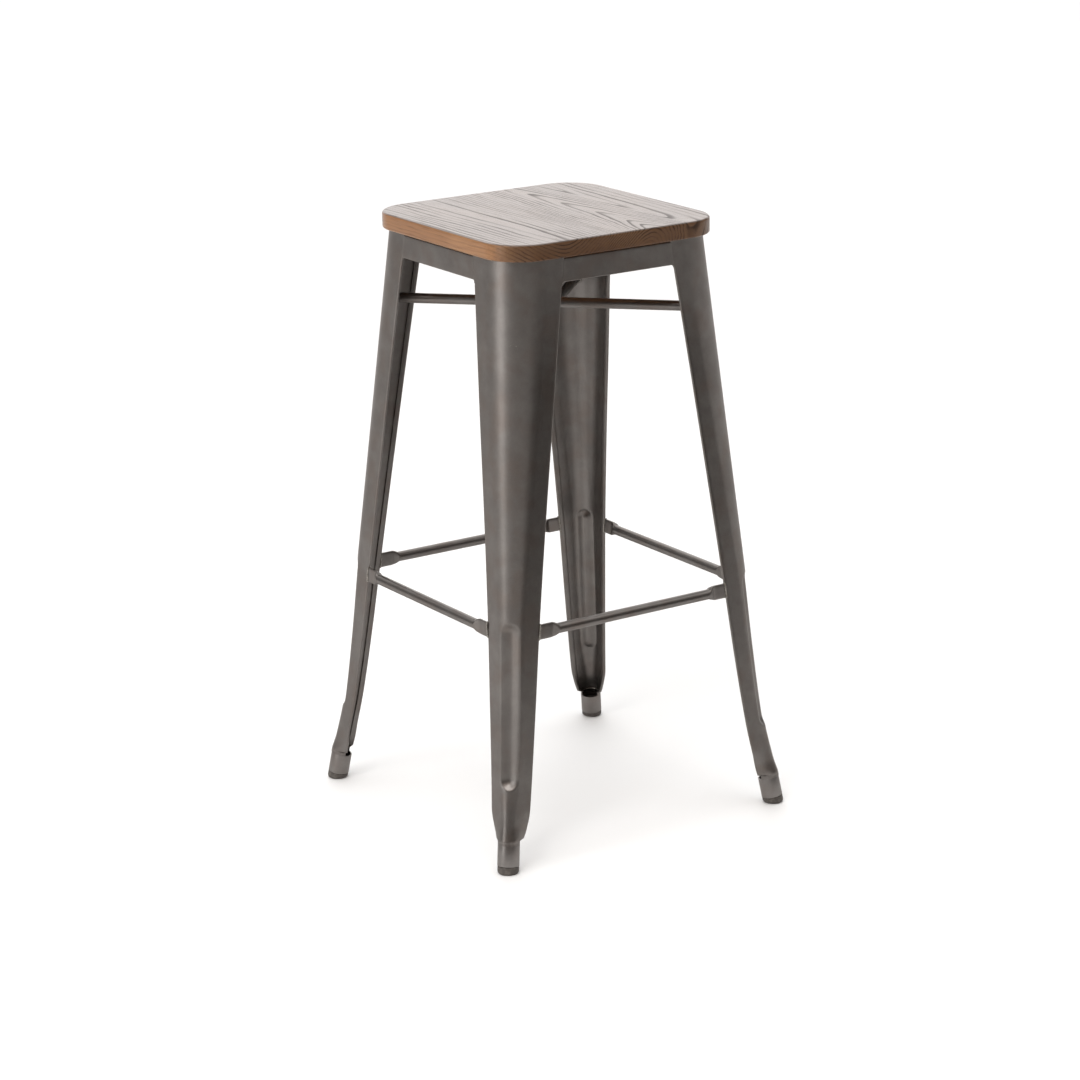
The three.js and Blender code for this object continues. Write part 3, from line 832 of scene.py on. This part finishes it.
def wood():
    """Stained open-grained wood with a satin finish. Its growth rings are contours of one smooth field, cut
    by the board's faces: long arches and lines on the top, and curved rings across the ends."""
    nodes = Nodes("stained wood", "stained_wood")
    place = nodes.position()
    underside = span("seat_board")[0].z
    normal = nodes.add("ShaderNodeSeparateXYZ", {0: nodes.add("ShaderNodeTexCoord", {}).outputs["Normal"]})
    side_grain = nodes.math("ABSOLUTE", normal.outputs["X"])
    end_grain = nodes.math("ABSOLUTE", normal.outputs["Y"])
    upper = normal.outputs["Z"]
    split = nodes.add("ShaderNodeSeparateXYZ", {0: place})
    drift = nodes.noise(nodes.stretched(place, 1, 0.22, 1), 26, 2.0)
    wobble = nodes.noise(nodes.stretched(place, 1, 0.12, 1), 7, 2.0)
    x = nodes.total(
        split.outputs["X"],
        nodes.math("MULTIPLY", nodes.math("SUBTRACT", drift, 0.5), 11),
        nodes.math("MULTIPLY", nodes.math("SUBTRACT", wobble, 0.5), 2.2),
    )
    y = split.outputs["Y"]
    height = nodes.math("SUBTRACT", split.outputs["Z"], underside)

    def ridge(value, centre, width, slope):
        """A smooth fold in the field: its slope changes by twice this slope at the centre."""
        away = nodes.math("SUBTRACT", value, centre)
        squares = nodes.math("ADD", nodes.math("MULTIPLY", away, away), nodes.math("MULTIPLY", width, width))
        return nodes.math("MULTIPLY", nodes.math("SQRT", squares), slope)

    arch_centre = nodes.math("MULTIPLY_ADD", height, 0.45, 43)
    arch_width = nodes.math("MULTIPLY_ADD", height, 0.45, 7)
    from_arch = nodes.math("ABSOLUTE", nodes.math("SUBTRACT", x, arch_centre))
    rise = nodes.math("ADD", nodes.math("MULTIPLY", y, 0.0252), ridge(y, -105, 10.0, -0.0119))
    field = nodes.total(
        nodes.math("MULTIPLY_ADD", height, 0.12, 0.26),
        nodes.math("MULTIPLY", x, 0.02),
        ridge(x, -75, 24.0, -0.16),
        ridge(x, arch_centre, arch_width, 0.18),
        ridge(x, 97, 4.0, -0.14),
        nodes.math("MULTIPLY", rise, nodes.between(from_arch, 15, 85, 1.0, 0.1)),
    )
    ring = nodes.math("FRACT", field)
    late = nodes.math("MULTIPLY", nodes.between(ring, 0.5, 0.9), nodes.between(ring, 1.0, 0.93))
    strength = nodes.between(nodes.noise(nodes.stretched(place, 1, 0.1, 1), 20), 0.35, 0.62, 0.3, 1.0)
    strength = nodes.math("MULTIPLY", strength, nodes.between(side_grain, 0.3, 0.9, 1.0, 0.3))
    late = nodes.math("MULTIPLY", late, strength)
    pores = nodes.noise(nodes.stretched(place, 1, 0.025, 1), 0.9, 2.0, 0.7)
    pores = nodes.math("MULTIPLY", nodes.between(pores, 0.52, 0.7), nodes.between(late, 0.0, 0.6, 0.5, 1.0))
    fibre = nodes.noise(nodes.stretched(place, 1, 0.03, 1), 2.6, 3.0, 0.65)
    cloud = nodes.noise(nodes.stretched(place, 1, 0.5, 1), 60, 2.0)
    colour = nodes.mix(nodes.between(cloud, 0.35, 0.65), (0.275, 0.13, 0.053), (0.34, 0.17, 0.073))
    colour = nodes.mix(nodes.between(fibre, 0.3, 0.7, 0.0, 0.55), colour, (0.24, 0.115, 0.055))
    colour = nodes.mix(nodes.math("MULTIPLY", late, 0.75), colour, (0.035, 0.018, 0.012))
    colour = nodes.mix(nodes.math("MULTIPLY", pores, 0.55), colour, (0.035, 0.02, 0.014))
    end_soak = nodes.between(end_grain, 0.1, 0.85, 1.0, 0.38)
    # Painted shade: the upward face is darkened to stand for the little light that falls on the top.
    top_painted_shade = nodes.between(upper, 0.4, 0.9, 1.0, 0.32)
    colour = nodes.scaled(colour, nodes.math("MULTIPLY", end_soak, top_painted_shade))
    hollows = nodes.math("MAXIMUM", late, pores)
    gloss = nodes.between(upper, 0.4, 0.9, 0.22, 0.5)
    return nodes.finish(
        Base_Color=colour,
        Roughness=nodes.between(hollows, 0.0, 1.0, 0.28, 0.5),
        Specular_IOR_Level=nodes.math("MULTIPLY", gloss, nodes.between(hollows, 0.0, 1.0, 1.05, 0.6)),
        IOR=1.6,
        Normal=nodes.bump(nodes.math("SUBTRACT", 1.0, hollows), 0.11),
    )


def floor_paper():
    nodes = Nodes("floor", "")
    shade = nodes.noise(nodes.position(), 900, 2.0)
    colour = nodes.mix(shade, (0.84, 0.84, 0.84), (0.87, 0.87, 0.865))
    return nodes.finish(Base_Color=colour, Roughness=0.7)


def black_cloth():
    nodes = Nodes("black cloth", "")
    weave = nodes.noise(nodes.position(), 2, 2.0)
    colour = nodes.mix(weave, (0.02, 0.017, 0.015), (0.04, 0.034, 0.03))
    return nodes.finish(Base_Color=colour, Roughness=0.9)


# ------------------------------------------------------------------ the stool

gunmetal = steel(
    "gunmetal steel",
    "gunmetal_steel",
    light=(0.172, 0.158, 0.148),
    dark=(0.142, 0.129, 0.12),
    tint=(0.144, 0.116, 0.1),
)
tube_steel = steel(
    "tube steel",
    "sleeve_steel",
    light=(0.215, 0.2, 0.19),
    dark=(0.18, 0.166, 0.156),
    tint=(0.18, 0.15, 0.134),
)
weld = weld_metal()
zinc_plate = zinc()
dark_rubber = rubber()
stained_wood = wood()

leg = leg_part()
sleeve = sleeve_part()
glide = rubber_part()
for quarter, corner in enumerate(CORNERS):
    make_quarter_piece(f"leg_sheet_{corner}", quarter, [leg], gunmetal, [f"leg_{corner}"])
    make_quarter_piece(f"sleeve_tube_{corner}", quarter, [sleeve], tube_steel, [f"foot_sleeve_{corner}"])
    make_quarter_piece(f"foot_weld_{corner}", quarter, [foot_weld_part(quarter)], weld)
    make_quarter_piece(f"rubber_glide_{corner}", quarter, [glide], dark_rubber, [f"rubber_foot_{corner}"])
    plate = frame["nodes"][f"corner_plate_{corner}"]
    plate.data.materials.clear()
    plate.data.materials.append(gunmetal)

rail = rail_part()
apron = apron_part()
fillets = [fillet_part(end) for end in (-1, 1)]
for quarter, side in enumerate(SIDES):
    make_quarter_piece(f"rail_tube_{side}", quarter, [rail], gunmetal, [f"footrest_rail_{side}"])
    make_quarter_piece(f"rail_welds_{side}", quarter, rail_weld_parts(10 * quarter + 5), weld)
    make_quarter_piece(f"apron_panel_{side}", quarter, [apron, *fillets], gunmetal, [f"apron_{side}"])

for name, heading in (("upper", -math.pi / 4), ("lower", math.pi / 4)):
    tube, *beads = brace_parts(f"cross_brace_{name}", heading)
    make_piece(f"brace_tube_{name}", [tube], gunmetal, [f"cross_brace_{name}"])
    make_piece(f"brace_welds_{name}", beads, weld)

screw = screw_mesh()
for place in (*CORNERS, *SIDES):
    low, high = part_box(f"seat_screw_{place}")
    bearing = Vector(((low.x + high.x) / 2, (low.y + high.y) / 2, low.z + SCREW_HEAD * MM))
    mesh = screw.copy()
    mesh.transform(Matrix.Translation(bearing))
    place_mesh(f"wood_screw_{place}", mesh, zinc_plate, [f"seat_screw_{place}"])

make_piece("seat_plank", [seat_part()], stained_wood, ["seat_board"])


# ------------------------------------------------------------------ floor, lights and camera


def add_floor():
    reach = 30
    corners = [(-reach, -reach, 0), (reach, -reach, 0), (reach, reach, 0), (-reach, reach, 0)]
    mesh = bpy.data.meshes.new("floor")
    mesh.from_pydata(corners, [], [(0, 1, 2, 3)])
    mesh.materials.append(floor_paper())
    floor = bpy.data.objects.new("floor", mesh)
    bpy.context.scene.collection.objects.link(floor)


def add_softbox(name, heading, elevation, distance, size, power, colour=(1, 1, 1)):
    """A large flat light at a compass heading and an elevation from the stool's middle, and facing it."""
    data = bpy.data.lights.new(name, "AREA")
    data.shape = "RECTANGLE"
    data.size, data.size_y = size
    data.energy = power
    data.color = colour
    light = bpy.data.objects.new(name, data)
    heading = math.radians(heading)
    elevation = math.radians(elevation)
    flat = math.cos(elevation)
    away = Vector((flat * math.cos(heading), flat * math.sin(heading), math.sin(elevation)))
    target = (cad_box[0] + cad_box[1]) / 2
    light.location = target + away * distance
    light.rotation_euler = away.to_track_quat("Z", "Y").to_euler()
    light.visible_camera = False
    bpy.context.scene.collection.objects.link(light)


def add_flag(heading, distance, width, height):
    """A black cloth beside the stool, standing across a compass heading. Only reflections see it."""
    half = width / 2
    corners = [(0, -half, 0), (0, half, 0), (0, half, height), (0, -half, height)]
    mesh = bpy.data.meshes.new("flag")
    mesh.from_pydata(corners, [], [(0, 1, 2, 3)])
    mesh.materials.append(black_cloth())
    flag = bpy.data.objects.new("flag", mesh)
    heading = math.radians(heading)
    clear_of_floor = 0.01
    place = Vector((distance * math.cos(heading), distance * math.sin(heading), clear_of_floor))
    flag.matrix_world = Matrix.Translation(place) @ Matrix.Rotation(heading, 4, "Z")
    flag.visible_camera = False
    flag.visible_diffuse = False
    flag.visible_shadow = False
    bpy.context.scene.collection.objects.link(flag)


def add_camera(place, heading, pitch, roll, lens):
    """A camera at a place. Heading is the compass angle that it looks along, and pitch is up from level."""
    data = bpy.data.cameras.new("camera")
    data.lens = lens
    data.sensor_width = 36
    camera = bpy.data.objects.new("camera", data)
    turn = Matrix.Rotation(math.radians(heading - 90), 4, "Z")
    tilt = Matrix.Rotation(math.radians(90 + pitch), 4, "X")
    lean = Matrix.Rotation(math.radians(roll), 4, "Z")
    camera.matrix_world = Matrix.Translation(place) @ turn @ tilt @ lean
    bpy.context.scene.collection.objects.link(camera)
    bpy.context.scene.camera = camera


def add_surroundings():
    """A white studio: brightest overhead and behind the stool, and dim on the side that the stool faces."""
    world = bpy.data.worlds.new("studio")
    world.use_nodes = True
    nodes = Nodes.of_tree(world.node_tree)
    direction = nodes.add("ShaderNodeTexCoord", {}).outputs["Generated"]
    heading = math.radians(62)
    bright_side = {0: direction, 1: (math.cos(heading), math.sin(heading), 0.2)}
    facing = nodes.add("ShaderNodeVectorMath", bright_side, operation="DOT_PRODUCT").outputs["Value"]
    upward = nodes.add("ShaderNodeSeparateXYZ", {0: direction}).outputs["Z"]
    strength = nodes.total(
        nodes.between(facing, -0.25, 0.75, 0.025, 0.31),
        nodes.between(facing, 0.72, 1.0, 0.0, 1.65),
        nodes.between(upward, 0.35, 0.9, 0.0, 1.5),
    )
    colour = nodes.mix(nodes.between(facing, -0.6, 0.0), (1.0, 0.84, 0.72), (1, 1, 1))
    background = nodes.add("ShaderNodeBackground", {"Color": colour, "Strength": strength})
    nodes.add("ShaderNodeOutputWorld", {"Surface": background.outputs[0]})
    bpy.context.scene.world = world


add_floor()
add_surroundings()
add_flag(heading=285, distance=0.9, width=0.8, height=0.57)
add_softbox("left key", heading=183, elevation=17, distance=3.4, size=(1.1, 2.5), power=32)
add_softbox("high light", heading=214, elevation=54, distance=3.0, size=(1.0, 1.0), power=24)
cool = (0.86, 0.93, 1.0)
add_softbox("right fill", heading=352, elevation=22, distance=3.2, size=(0.9, 2.2), power=0.8, colour=cool)
bpy.context.scene.view_settings.view_transform = "Standard"

add_camera(place=(-2.2329, -3.3250, 1.5412), heading=56.285, pitch=-16.714, roll=-0.845, lens=109.28)
